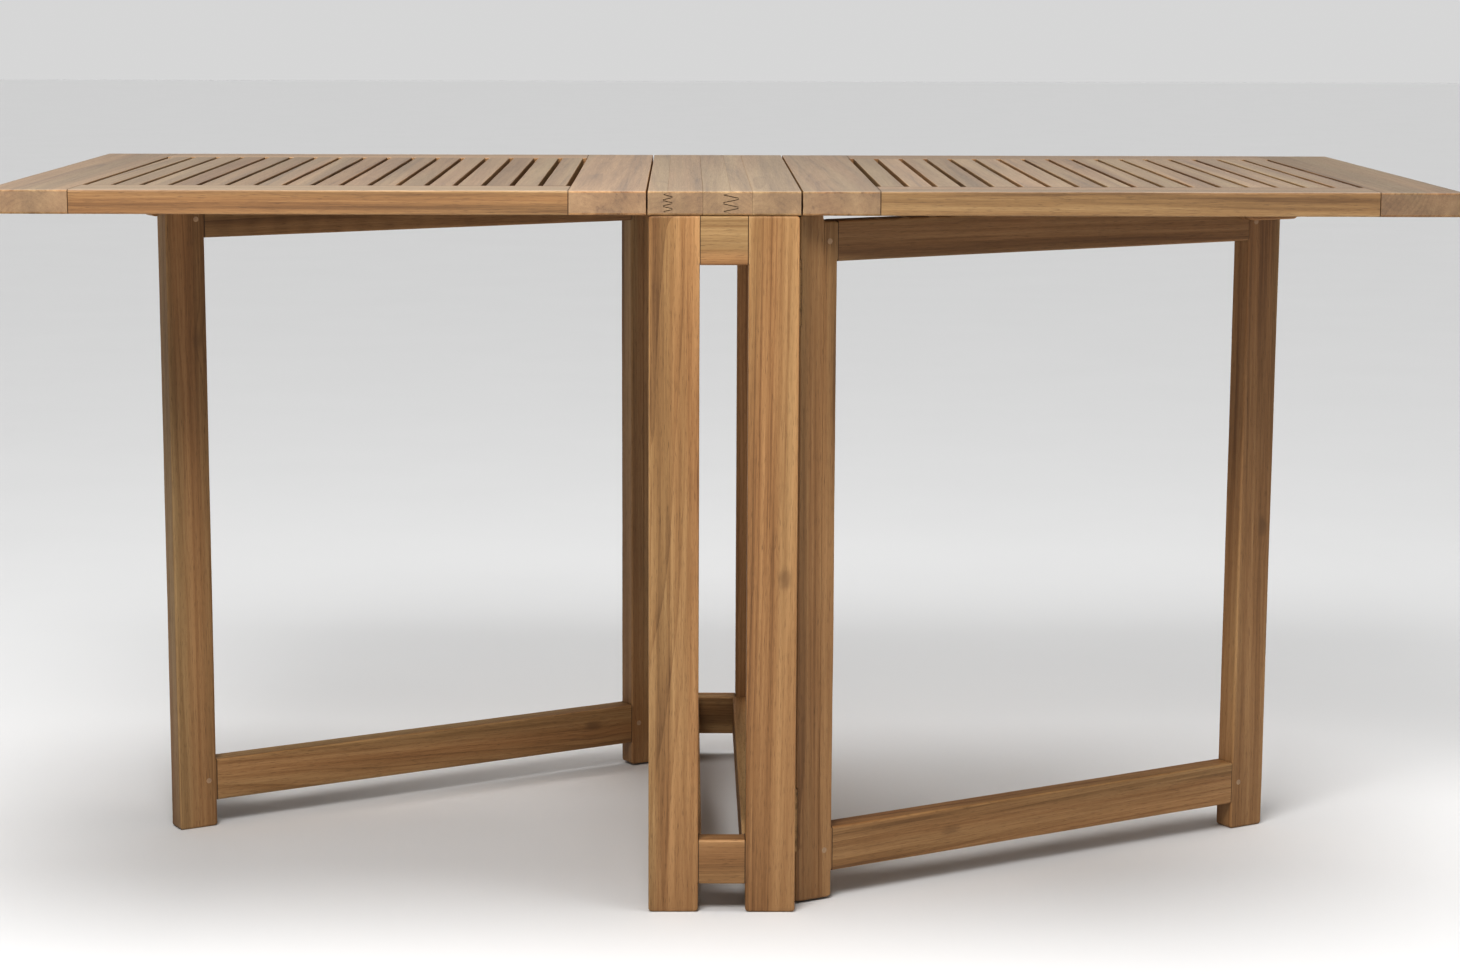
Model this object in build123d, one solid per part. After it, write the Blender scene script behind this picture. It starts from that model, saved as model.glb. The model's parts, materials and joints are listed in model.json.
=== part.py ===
from build123d import *
import os
from math import cos, radians, sin, sqrt

# A gateleg table: a narrow centre frame under a fixed centre board, a slatted drop leaf
# hinged to each side, and under each leaf a gate that swings out from the frame to hold it.
# The origin is on the floor under the middle of the table. +X runs to the right leaf,
# +Y to the back and +Z up. The table looks the same after half a turn about Z.

# overall size
table_length = 1490.0
table_depth = 700.0
table_height = 750.0
top_thickness = 25.0

# centre board and leaves
centre_width = 156.0
leaf_gap = 1.5
outer_stile_width = 85.0
inner_stile_width = 78.25
leaf_rail_width = 78.0
slat_count = 17
slat_width = 24.3
# each glued joint of the centre board: its X, how far its fingers reach and how many it has
stave_joints = ((-57.0, 9.0, 3), (-21.6, 0.0, 0), (6.5, 15.0, 2), (28.0, 0.0, 0))
finger_margin = 3.5
finger_flank = 0.42

# centre frame
frame_width = 153.0
stock = 26.0
post_width = 52.0
upper_rail_low = 675.0
lower_rail_low = 30.0
lower_rail_high = 77.5
side_rail_inset = 21.0

# gates, which stand open at gate_angle from the table's length
gate_angle = 31.0
gate_reach = 643.0
gate_gap = 1.5
gate_stile_width = 45.0
gate_top = 717.0
stile_step_width = 29.0
gate_foot_clearance = 2.0
leg_top_clearance = 0.2

# stop block under each leaf
block_length = 70.0
block_width = 20.0
block_overhang = 8.0
block_clearance = 0.3
block_nose_radius = 7.0
block_edge_radius = 1.5

# rounding of the edges
arris = 2.5
soft_arris = 1.0
corner = 4.0
scribe_depth = 0.4

# joints in the wood
tenon_thickness = 9.0
tenon_length = 26.0
tenon_shoulder = 6.0
frame_tenon_thickness = 8.0
frame_tenon_length = 20.0
frame_tenon_setback = 4.0
leaf_tenon_setback = 16.0
side_tenon_length = 12.0
slat_tenon_length = 12.0
slat_tenon_shoulder = 3.0
mortise_relief = 1.0
peg_radius = 3.0
peg_inset = 9.0

# hinges and screws
plate_thickness = 1.4
plate_reach = 24.0
plate_corner = 3.0
bore_radius = 1.5
pin_radius = 1.45
pin_head_radius = 2.6
pin_head_height = 1.2
knuckle_gap = 0.2
knuckle_count = 5
plate_setback = 3.4
leaf_hinge_length = 64.0
leaf_hinge_spacing = 400.0
leaf_hinge_drop = 3.3
leaf_barrel_radius = 3.2
gate_hinge_length = 65.0
gate_hinge_heights = (92.0, 645.0)
gate_barrel_radius = 3.0
barrel_relief = 0.4
screw_head_radius = 3.2
screw_shank_radius = 1.6
screw_taper = 1.6
screw_length = 15.0
screw_tip_length = 3.0
screw_tip_radius = 0.3
screw_spacing = 22.0
cross_length = 3.4
cross_width = 0.7
cross_depth = 0.9
long_screw_head_radius = 4.0
long_screw_head_height = 3.0
slot_width = 1.0
slot_depth = 0.9
long_screw_shank_radius = 2.0
long_screw_bite = 15.0
counterbore_radius = 4.5
top_screw_depth = 25.0
top_screw_spacing = 220.0
block_screw_depth = 9.0

half_length = table_length / 2
half_depth = table_depth / 2
half_centre = centre_width / 2
half_frame = frame_width / 2
underside = table_height - top_thickness
post_inner = half_frame - post_width
post_back = half_depth - stock
pivot_x = half_frame
pivot_y = -(post_back - gate_gap)
leaf_inner = half_centre + leaf_gap / 2
window_inner = leaf_inner + inner_stile_width
window_outer = half_length - outer_stile_width
window_half = half_depth - leaf_rail_width
leaf_pivot_z = underside - leaf_hinge_drop
gate_lower_high = lower_rail_high + 0.5
board_middle = (underside + table_height) / 2
half_turn = Rot(0, 0, 180)
# how far a cutting block runs past the faces it cuts
spare = 1.0


def block(x0, x1, y0, y1, z0, z1):
    """A box between two opposite corners."""
    return Pos((x0 + x1) / 2, (y0 + y1) / 2, (z0 + z1) / 2) * Box(x1 - x0, y1 - y0, z1 - z0)


def scribe(x, y, z, length, axis):
    """A thin square rod, set on its corner, that cuts the fine line where two pieces meet."""
    side = scribe_depth * sqrt(2)
    rod = Rot(0, 0, 45) * Box(side, side, length)
    turn = {"x": Rot(0, 90, 0), "y": Rot(90, 0, 0), "z": Rot(0, 0, 0)}[axis]
    return Pos(x, y, z) * turn * rod


def near(value, places):
    """True where a value is one of a few places."""
    return any(abs(value - place) < 0.01 for place in places)


def end_faces(part, axis):
    """The two flat faces furthest apart along an axis."""
    faces = part.faces().filter_by(axis).sort_by(axis)
    return faces[0], faces[-1]


def round_panel(blank, concave_x, concave_z):
    """Rounds an upright flat frame: its outline corners, then every edge of both faces."""
    through = blank.edges().filter_by(Axis.Y)
    free = [
        edge
        for edge in through
        if not (near(edge.center().X, concave_x) and near(edge.center().Z, concave_z))
    ]
    part = fillet(free, corner)
    front, back = end_faces(part, Axis.Y)
    return fillet(list(front.edges()) + list(back.edges()), arris)


def screw(recess=True):
    """A countersunk screw that points along +Y, with the top of its head at the origin."""
    head = Cone(screw_head_radius, screw_shank_radius, screw_taper)
    shank = Pos(0, 0, screw_length / 2) * Cylinder(screw_shank_radius, screw_length)
    tip = Cone(screw_shank_radius, screw_tip_radius, screw_tip_length)
    part = Pos(0, 0, screw_taper / 2) * head + shank
    part += Pos(0, 0, screw_length + screw_tip_length / 2) * tip
    if recess:
        for turn in (0, 90):
            part -= Rot(0, 0, turn) * Box(cross_length, cross_width, 2 * cross_depth)
    return Rot(-90, 0, 0) * part


def long_screw(depth, bite):
    """A pan-head screw that points up +Z: its head bears at depth above the origin."""
    cheese = Cylinder(long_screw_head_radius, long_screw_head_height)
    head = Pos(0, 0, depth - long_screw_head_height / 2) * cheese
    cut = Box(2 * long_screw_head_radius + spare, slot_width, 2 * slot_depth)
    slot = Pos(0, 0, depth - long_screw_head_height) * cut
    shank = Pos(0, 0, depth + bite / 2) * Cylinder(long_screw_shank_radius, bite)
    return head - slot + shank


def long_screw_hole(depth, bite):
    """The hole for a long screw, with a counterbore up to its head."""
    well = Pos(0, 0, depth / 2) * Cylinder(counterbore_radius, depth)
    return well + Pos(0, 0, depth + bite / 2) * Cylinder(long_screw_shank_radius, bite)


def knuckle_spans(length, moving):
    """The height ranges of a hinge plate's own knuckles, which alternate."""
    pitch = length / knuckle_count
    start = -length / 2
    spans = []
    for index in range(knuckle_count):
        if (index % 2 == 1) == moving:
            low = start + index * pitch + knuckle_gap / 2
            spans.append((low, low + pitch - knuckle_gap))
    return spans


def plate_screws(mount, recess=True):
    """The three screws of one hinge plate, whose wood begins at y = mount."""
    across = (plate_setback + plate_reach) / 2
    face = mount - plate_thickness
    offsets = (-screw_spacing, 0.0, screw_spacing)
    return [Pos(across, face, offset) * screw(recess) for offset in offsets]


def hinge_plate(length, barrel, mount, moving):
    """One plate of a butt hinge. The pin is on Z and the plate reaches out along +X."""
    face = mount - plate_thickness
    half = length / 2
    part = block(plate_setback, plate_reach, face, mount, -half, half)
    part = fillet(part.edges().filter_by(Axis.Y).sort_by(Axis.X)[-2:], plate_corner)
    for low, high in knuckle_spans(length, moving):
        part += block(0, plate_setback + spare, face, mount, low, high)
        part += Pos(0, 0, (low + high) / 2) * Cylinder(barrel, high - low)
    part -= Cylinder(bore_radius, length + 2 * spare)
    return part - plate_screws(mount, recess=False)


def hinge_pin(length):
    """A hinge pin on Z with a flat button at each end."""
    part = Cylinder(pin_radius, length)
    button = Cylinder(pin_head_radius, pin_head_height)
    for end in (-1, 1):
        part += Pos(0, 0, end * (length + pin_head_height) / 2) * button
    return part


def staves():
    """The centre board, cut into its glued staves. Two of the joints are fingered."""
    edge = half_centre - leaf_gap / 2
    board = block(-edge, edge, -half_depth, half_depth, underside, table_height)
    board = fillet(board.edges().filter_by(Axis.X), arris)
    rims = [rim for face in board.faces().filter_by(Axis.X) for rim in face.edges()]
    board = fillet(rims, soft_arris)
    for x, reach, _ in stave_joints:
        if not reach:
            for z in (underside, table_height):
                board -= scribe(x, 0, z, table_depth, "y")
            for y in (-half_depth, half_depth):
                board -= scribe(x, y, board_middle, top_thickness, "z")
    pieces = []
    for joint in stave_joints:
        left = left_of(joint)
        pieces.append(board & left)
        board = board - left
    pieces.append(board)
    return pieces


def left_of(joint):
    """Everything left of one glued joint, a flat one or one with fingers along X."""
    x, reach, fingers = joint
    low = underside - spare
    high = table_height + spare
    points = [(-half_centre, low), (x, low)]
    if fingers:
        pitch = (top_thickness - 2 * finger_margin) / fingers
        for index in range(fingers):
            base = underside + finger_margin + index * pitch
            points.append((x - reach / 2, base))
            points.append((x + reach / 2, base + pitch * finger_flank))
            points.append((x + reach / 2, base + pitch * (1 - finger_flank)))
        points.append((x - reach / 2, table_height - finger_margin))
    points += [(x, high), (-half_centre, high)]
    outline = Plane.XZ * make_face(Polyline(*points, close=True))
    return extrude(outline, amount=half_depth + spare, both=True)


def end_frame():
    """The front posts and the two rails between them, rounded together and then parted."""
    front = -half_depth
    back = -post_back
    y0 = front - spare
    y1 = back + spare
    blank = block(-half_frame, -post_inner, front, back, 0, underside)
    blank += block(post_inner, half_frame, front, back, 0, underside)
    blank += block(-post_inner, post_inner, front, back, upper_rail_low, underside)
    blank += block(-post_inner, post_inner, front, back, lower_rail_low, lower_rail_high)
    concave_z = (upper_rail_low, lower_rail_low, lower_rail_high)
    part = round_panel(blank, (-post_inner, post_inner), concave_z)
    rails = {
        "top": (upper_rail_low, underside),
        "bottom": (lower_rail_low, lower_rail_high),
    }
    for low, high in rails.values():
        for x in (-post_inner, post_inner):
            for y in (front, back):
                part -= scribe(x, y, (low + high) / 2, high - low, "z")
    far = half_frame + spare
    pieces = {
        "left": part & block(-far, -post_inner, y0, y1, -spare, underside + spare),
        "right": part & block(post_inner, far, y0, y1, -spare, underside + spare),
    }
    tenon_front = front + frame_tenon_setback
    tenon_back = tenon_front + frame_tenon_thickness
    for name, (low, high) in rails.items():
        rail = part & block(-post_inner, post_inner, y0, y1, low - spare, high + spare)
        z0 = low + tenon_shoulder
        z1 = high - tenon_shoulder
        reach = post_inner + frame_tenon_length
        pieces[name] = rail + block(-reach, reach, tenon_front, tenon_back, z0, z1)
        deep = reach + mortise_relief
        room = block(-deep, deep, tenon_front, tenon_back, z0, z1)
        for side in ("left", "right"):
            pieces[side] -= room
            for rail_tenon in side_rail_tenons(low, high, mortise_relief):
                pieces[side] -= rail_tenon
    return pieces


def side_rail_tenons(low, high, extra=0.0):
    """The tenons at both ends of both side rails at one height."""
    z0 = low + tenon_shoulder
    z1 = high - tenon_shoulder
    y = post_back + side_tenon_length + extra
    x0 = side_rail_inset + (stock - tenon_thickness) / 2
    x1 = x0 + tenon_thickness
    return [
        block(x0, x1, -y, y, z0, z1),
        block(-x1, -x0, -y, y, z0, z1),
    ]


def side_rail(low, high):
    """The right side rail at one height, which ties the front posts to the back ones."""
    x0 = side_rail_inset
    rail = block(x0, x0 + stock, -post_back, post_back, low, high)
    rail = fillet(rail.edges().filter_by(Axis.Y), arris)
    return rail + side_rail_tenons(low, high)[0]


def gate_local():
    """A gate on its own, with its pin on Z, its length along +X and its face at y = 0."""
    stile0 = gate_gap
    stile1 = stile0 + gate_stile_width
    leg0 = gate_reach - gate_stile_width
    leg1 = gate_reach
    leg_high = underside - leg_top_clearance
    foot = gate_foot_clearance
    step = stile0 + stile_step_width
    blank = block(stile0, stile1, 0, stock, foot, gate_top)
    blank += block(stile0, step, 0, stock, foot, leg_high)
    blank += block(leg0, leg1, 0, stock, 0, leg_high)
    blank += block(stile1, leg0, 0, stock, upper_rail_low, gate_top)
    blank += block(stile1, leg0, 0, stock, lower_rail_low, gate_lower_high)
    concave_z = (upper_rail_low, gate_top, lower_rail_low, gate_lower_high)
    part = round_panel(blank, (step, stile1, leg0), concave_z)
    rails = {
        "top_rail": (upper_rail_low, gate_top),
        "bottom_rail": (lower_rail_low, gate_lower_high),
    }
    for low, high in rails.values():
        for x in (stile1, leg0):
            for y in (0, stock):
                part -= scribe(x, y, (low + high) / 2, high - low, "z")
    y0 = -spare
    y1 = stock + spare
    pieces = {
        "hinge_stile": part & block(0, stile1, y0, y1, -spare, underside + spare),
        "leg": part & block(leg0, leg1 + spare, y0, y1, -spare, underside + spare),
    }
    tenon0 = (stock - tenon_thickness) / 2
    tenon1 = tenon0 + tenon_thickness
    pegs = []
    for name, (low, high) in rails.items():
        rail = part & block(stile1, leg0, y0, y1, low - spare, high + spare)
        z0 = low + tenon_shoulder
        z1 = high - tenon_shoulder
        rail += block(stile1 - tenon_length, leg0 + tenon_length, tenon0, tenon1, z0, z1)
        room0 = stile1 - tenon_length - mortise_relief
        room1 = leg0 + tenon_length + mortise_relief
        room = block(room0, room1, tenon0, tenon1, z0, z1)
        peg = Rot(90, 0, 0) * Cylinder(peg_radius, stock)
        places = (stile1 - peg_inset, leg0 + peg_inset)
        row = [Pos(x, stock / 2, (low + high) / 2) * peg for x in places]
        pieces["hinge_stile"] = pieces["hinge_stile"] - room - row
        pieces["leg"] = pieces["leg"] - room - row
        pieces[name] = rail - row
        pegs += row
    pieces["pegs"] = pegs
    plates = []
    screws = []
    for height in gate_hinge_heights:
        turned = Pos(0, 0, height) * Rot(0, 0, 90) * Rot(180, 0, 0)
        plates.append(turned * hinge_plate(gate_hinge_length, gate_barrel_radius, gate_gap, True))
        screws += [turned * one for one in plate_screws(gate_gap)]
        pieces["hinge_stile"] -= [turned * one for one in plate_screws(gate_gap, recess=False)]
        pieces["hinge_stile"] -= turned * barrel_room()
    pieces["hinge_plates"] = plates
    pieces["hinge_screws"] = screws
    return pieces


def barrel_room():
    """The room that a gate hinge's barrel takes in the wood on either side of it."""
    return Cylinder(gate_barrel_radius + barrel_relief, gate_hinge_length + 4 * spare)


def gate_place():
    """Where a right gate stands when it is open."""
    return Pos(pivot_x, pivot_y, 0) * Rot(0, 0, gate_angle)


def gate_point(u, v):
    """A point of the open right gate, u along it and v behind its face."""
    angle = radians(gate_angle)
    x = pivot_x + u * cos(angle) - v * sin(angle)
    y = pivot_y + u * sin(angle) + v * cos(angle)
    return x, y


def slat_centres():
    """The X of each slat's middle, evenly spaced between the stiles."""
    room = window_outer - window_inner
    gap = (room - slat_count * slat_width) / (slat_count + 1)
    first = window_inner + gap + slat_width / 2
    return [first + index * (slat_width + gap) for index in range(slat_count)]


def slat(x, long=False):
    """One slat with a stub tenon at each end, or only its tenons' room when long."""
    half = slat_width / 2
    tenon = half - slat_tenon_shoulder
    z0 = board_middle - tenon_thickness / 2
    z1 = board_middle + tenon_thickness / 2
    reach = window_half + slat_tenon_length
    if long:
        reach += mortise_relief
        return block(x - tenon, x + tenon, -reach, reach, z0, z1)
    part = block(x - half, x + half, -window_half, window_half, underside, table_height)
    part = fillet(part.edges().filter_by(Axis.Y), soft_arris)
    return part + block(x - tenon, x + tenon, -reach, reach, z0, z1)


def leaf_frame():
    """The right leaf's stiles and rails, rounded together and then parted."""
    low = underside
    high = table_height
    z0 = low - spare
    z1 = high + spare
    blank = block(leaf_inner, half_length, -half_depth, half_depth, low, high)
    blank -= block(window_inner, window_outer, -window_half, window_half, z0, z1)
    corners = blank.edges().filter_by(Axis.Z).sort_by(Axis.X)[-2:]
    part = fillet(corners, corner)
    rims = [
        edge
        for edge in part.edges()
        if near(edge.center().Z, (low, high)) and outside(edge.center())
    ]
    part = fillet(rims, arris)
    hinge_side = part.faces().filter_by(Axis.X).sort_by(Axis.X)[0]
    part = fillet(hinge_side.edges(), soft_arris)
    window = [
        edge
        for edge in part.edges()
        if near(edge.center().Z, (low, high)) and inside_window(edge.center())
    ]
    part = fillet(window, soft_arris)
    rail_middle = (half_depth + window_half) / 2
    for x in (window_inner, window_outer):
        for end in (-1, 1):
            part -= scribe(x, end * half_depth, board_middle, top_thickness, "z")
            for z in (low, high):
                part -= scribe(x, end * rail_middle, z, leaf_rail_width, "y")
    return part


def outside(point):
    """True on the leaf's outer and end rims."""
    return point.X > half_length - arris or abs(point.Y) > half_depth - arris


def inside_window(point):
    """True on the rim of the opening that holds the slats."""
    across = window_inner - spare < point.X < window_outer + spare
    return across and abs(point.Y) < window_half + spare


def leaf():
    """The pieces of the right leaf, lying flat."""
    part = leaf_frame()
    low = underside - spare
    high = table_height + spare
    wide = half_depth + spare
    far = half_length + spare
    pieces = {
        "inner_stile": part & block(half_centre, window_inner, -wide, wide, low, high),
        "outer_stile": part & block(window_outer, far, -wide, wide, low, high),
    }
    z0 = board_middle - tenon_thickness / 2
    z1 = board_middle + tenon_thickness / 2
    centres = slat_centres()
    rooms = [slat(x, long=True) for x in centres]
    for name, end in (("front_rail", -1), ("back_rail", 1)):
        y0, y1 = sorted((end * window_half, end * wide))
        rail = part & block(window_inner, window_outer, y0, y1, low, high)
        setback = leaf_tenon_setback
        t0, t1 = sorted((end * (window_half + setback), end * (half_depth - setback)))
        x0 = window_inner - tenon_length
        x1 = window_outer + tenon_length
        rail += block(x0, x1, t0, t1, z0, z1)
        pieces[name] = rail - rooms
        room = block(x0 - mortise_relief, x1 + mortise_relief, t0, t1, z0, z1)
        pieces["inner_stile"] -= room
        pieces["outer_stile"] -= room
    pieces["slats"] = [slat(x) for x in centres]
    stop, screws, holes = stop_block(centres)
    pieces["stop_block"] = stop
    pieces["block_screws"] = screws
    pieces["slats"] = [one - holes for one in pieces["slats"]]
    plates, plate_fixings, cuts = leaf_hinges(moving=True)
    pieces["hinge_plates"] = plates
    pieces["hinge_screws"] = plate_fixings
    pieces["inner_stile"] -= cuts
    return pieces


def stop_block(centres):
    """The block that stops the open gate's leg, screwed up into two slats."""
    u1 = gate_reach + block_overhang
    u0 = u1 - block_length
    v1 = -block_clearance
    v0 = v1 - block_width
    local = block(u0, u1, v0, v1, underside - stock, underside)
    lower = local.edges().filter_by(Axis.Y).sort_by(Axis.Z)[:2]
    local = fillet(lower, block_nose_radius)
    front_edges = local.faces().sort_by(Axis.Y)[0].edges().sort_by(Axis.Z)
    local = fillet(front_edges[:-1], block_edge_radius)
    part = gate_place() * local
    angle = radians(gate_angle)
    v = (v0 + v1) / 2
    screws = []
    holes = []
    for x in centres[-3:-1]:
        u = (x - pivot_x + v * sin(angle)) / cos(angle)
        px, py = gate_point(u, v)
        place = Pos(px, py, underside - stock)
        bite = stock - block_screw_depth + long_screw_bite
        screws.append(place * long_screw(block_screw_depth, bite))
        holes.append(place * long_screw_hole(block_screw_depth, bite))
    return part - holes, screws, holes


def leaf_hinges(moving):
    """The right leaf's hinge plates, their screws and the room the screws take."""
    plates = []
    screws = []
    cuts = []
    for end in (-1, 1):
        place = Pos(half_centre, end * leaf_hinge_spacing / 2, leaf_pivot_z)
        turn = Rot(90, 0, 0) if moving else Rot(90, 0, 0) * Rot(0, 180, 0)
        spot = place * turn
        plate = hinge_plate(leaf_hinge_length, leaf_barrel_radius, leaf_hinge_drop, moving)
        plates.append(spot * plate)
        screws += [spot * one for one in plate_screws(leaf_hinge_drop)]
        cuts += [spot * one for one in plate_screws(leaf_hinge_drop, recess=False)]
    return plates, screws, cuts


def centre_frame():
    """The centre frame, its board and the fixed halves of every hinge."""
    nodes = {}
    ends = end_frame()
    hinge_parts = gate_hinge_fixed()
    hinge_post = ends["right"] - hinge_parts["cuts"]
    nodes["front_right_post"] = hinge_post
    nodes["front_left_post"] = ends["left"]
    nodes["front_top_rail"] = ends["top"]
    nodes["front_bottom_rail"] = ends["bottom"]
    nodes["back_left_post"] = half_turn * hinge_post
    nodes["back_right_post"] = half_turn * ends["left"]
    nodes["back_top_rail"] = half_turn * ends["top"]
    nodes["back_bottom_rail"] = half_turn * ends["bottom"]
    upper = side_rail(upper_rail_low, underside)
    lower = side_rail(lower_rail_low, lower_rail_high)
    bite = underside - upper_rail_low - top_screw_depth + long_screw_bite
    x = side_rail_inset + stock / 2
    places = [Pos(x, row * top_screw_spacing, upper_rail_low) for row in (-1, 0, 1)]
    holes = [place * long_screw_hole(top_screw_depth, bite) for place in places]
    screws = [place * long_screw(top_screw_depth, bite) for place in places]
    upper -= holes
    nodes["right_upper_side_rail"] = upper
    nodes["left_upper_side_rail"] = half_turn * upper
    nodes["right_lower_side_rail"] = lower
    nodes["left_lower_side_rail"] = half_turn * lower
    plates, plate_fixings, cuts = leaf_hinges(moving=False)
    under = holes + cuts
    under += [half_turn * one for one in under]
    for number, stave in enumerate(staves(), 1):
        nodes[f"centre_board_stave_{number}"] = stave - under
    nodes["centre_board_screws"] = both_sides(screws)
    nodes["leaf_hinge_fixed_plates"] = both_sides(plates)
    pin = Rot(90, 0, 0) * hinge_pin(leaf_hinge_length)
    rows = [row * leaf_hinge_spacing / 2 for row in (-1, 1)]
    pins = [Pos(half_centre, y, leaf_pivot_z) * pin for y in rows]
    nodes["leaf_hinge_pins"] = both_sides(pins)
    nodes["gate_hinge_fixed_plates"] = both_sides(hinge_parts["plates"])
    nodes["gate_hinge_pins"] = both_sides(hinge_parts["pins"])
    nodes["frame_hinge_screws"] = both_sides(plate_fixings + hinge_parts["screws"])
    return nodes


def gate_hinge_fixed():
    """The post's half of the right gate's hinges, with the room they take in the post."""
    parts = {"plates": [], "pins": [], "screws": [], "cuts": []}
    for height in gate_hinge_heights:
        spot = Pos(pivot_x, pivot_y, height) * Rot(0, 0, 180)
        plate = hinge_plate(gate_hinge_length, gate_barrel_radius, gate_gap, False)
        parts["plates"].append(spot * plate)
        parts["pins"].append(spot * hinge_pin(gate_hinge_length))
        parts["screws"] += [spot * one for one in plate_screws(gate_gap)]
        parts["cuts"] += [spot * one for one in plate_screws(gate_gap, recess=False)]
        parts["cuts"].append(spot * barrel_room())
    return parts


def both_sides(solids):
    """A group of solids, and the same group half a turn round the table."""
    return solids + [half_turn * one for one in solids]


def write(name, shape):
    """Writes one node, either one solid or a group of separate ones."""
    if isinstance(shape, list):
        shape = Compound(children=[solid for part in shape for solid in part.solids()])
    export_step(shape, f"parts/{name}.step")


os.makedirs("parts", exist_ok=True)
nodes = centre_frame()
# the half turn brings the right leaf's front rail to the left leaf's back, and the other way
turned_names = {"front_rail": "back_rail", "back_rail": "front_rail"}
for piece, shape in leaf().items():
    group = shape if isinstance(shape, list) else [shape]
    nodes[f"right_leaf_{piece}"] = group
    nodes[f"left_leaf_{turned_names.get(piece, piece)}"] = [half_turn * one for one in group]
for piece, shape in gate_local().items():
    group = shape if isinstance(shape, list) else [shape]
    placed = [gate_place() * one for one in group]
    nodes[f"right_gate_{piece}"] = placed
    nodes[f"left_gate_{piece}"] = [half_turn * one for one in placed]
for name, shape in nodes.items():
    write(name, shape)
print(len(nodes), "nodes")
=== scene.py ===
import json
import math

import bpy
import numpy as np
from mathutils import Matrix, Vector


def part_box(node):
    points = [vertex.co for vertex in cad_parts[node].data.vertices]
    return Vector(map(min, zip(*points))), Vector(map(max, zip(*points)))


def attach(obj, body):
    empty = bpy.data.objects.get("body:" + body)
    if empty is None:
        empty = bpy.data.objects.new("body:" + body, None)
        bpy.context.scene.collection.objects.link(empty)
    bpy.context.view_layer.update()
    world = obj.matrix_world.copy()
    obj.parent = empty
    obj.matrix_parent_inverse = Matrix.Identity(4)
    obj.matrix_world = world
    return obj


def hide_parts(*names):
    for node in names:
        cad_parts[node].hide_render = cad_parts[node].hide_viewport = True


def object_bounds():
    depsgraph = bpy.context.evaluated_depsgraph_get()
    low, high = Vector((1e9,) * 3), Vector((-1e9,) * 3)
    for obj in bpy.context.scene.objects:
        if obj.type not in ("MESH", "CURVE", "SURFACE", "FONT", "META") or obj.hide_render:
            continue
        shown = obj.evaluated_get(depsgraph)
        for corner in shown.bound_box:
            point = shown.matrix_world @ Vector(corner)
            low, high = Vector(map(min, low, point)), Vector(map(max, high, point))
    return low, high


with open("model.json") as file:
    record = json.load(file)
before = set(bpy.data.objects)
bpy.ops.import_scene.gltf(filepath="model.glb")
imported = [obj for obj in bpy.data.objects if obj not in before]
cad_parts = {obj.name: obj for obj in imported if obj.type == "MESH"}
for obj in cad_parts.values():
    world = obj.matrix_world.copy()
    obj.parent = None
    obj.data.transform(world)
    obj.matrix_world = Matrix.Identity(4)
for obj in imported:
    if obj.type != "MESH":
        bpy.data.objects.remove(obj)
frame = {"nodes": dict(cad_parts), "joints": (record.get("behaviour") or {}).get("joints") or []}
cadLow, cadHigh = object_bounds()
nodes = frame["nodes"]
print("frame loaded with", len(nodes), "nodes")

alongX = np.array((1.0, 0.0, 0.0))
alongY = np.array((0.0, 1.0, 0.0))
alongZ = np.array((0.0, 0.0, 1.0))


def corners(node):
    # lowest and highest corner of a CAD node, as arrays
    low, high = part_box(node)
    return np.array(low), np.array(high)


class Wire:
    # one socket of a material; arithmetic on it adds the Math nodes that it needs
    def __init__(self, recipe, socket):
        self.recipe = recipe
        self.socket = socket

    def __add__(self, other):
        return self.recipe.maths("ADD", self, other)

    def __sub__(self, other):
        return self.recipe.maths("SUBTRACT", self, other)

    def __rsub__(self, other):
        return self.recipe.maths("SUBTRACT", other, self)

    def __mul__(self, other):
        return self.recipe.maths("MULTIPLY", self, other)

    def __truediv__(self, other):
        return self.recipe.maths("DIVIDE", self, other)

    def __pow__(self, other):
        return self.recipe.maths("POWER", self, other)

    __radd__ = __add__
    __rmul__ = __mul__


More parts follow.
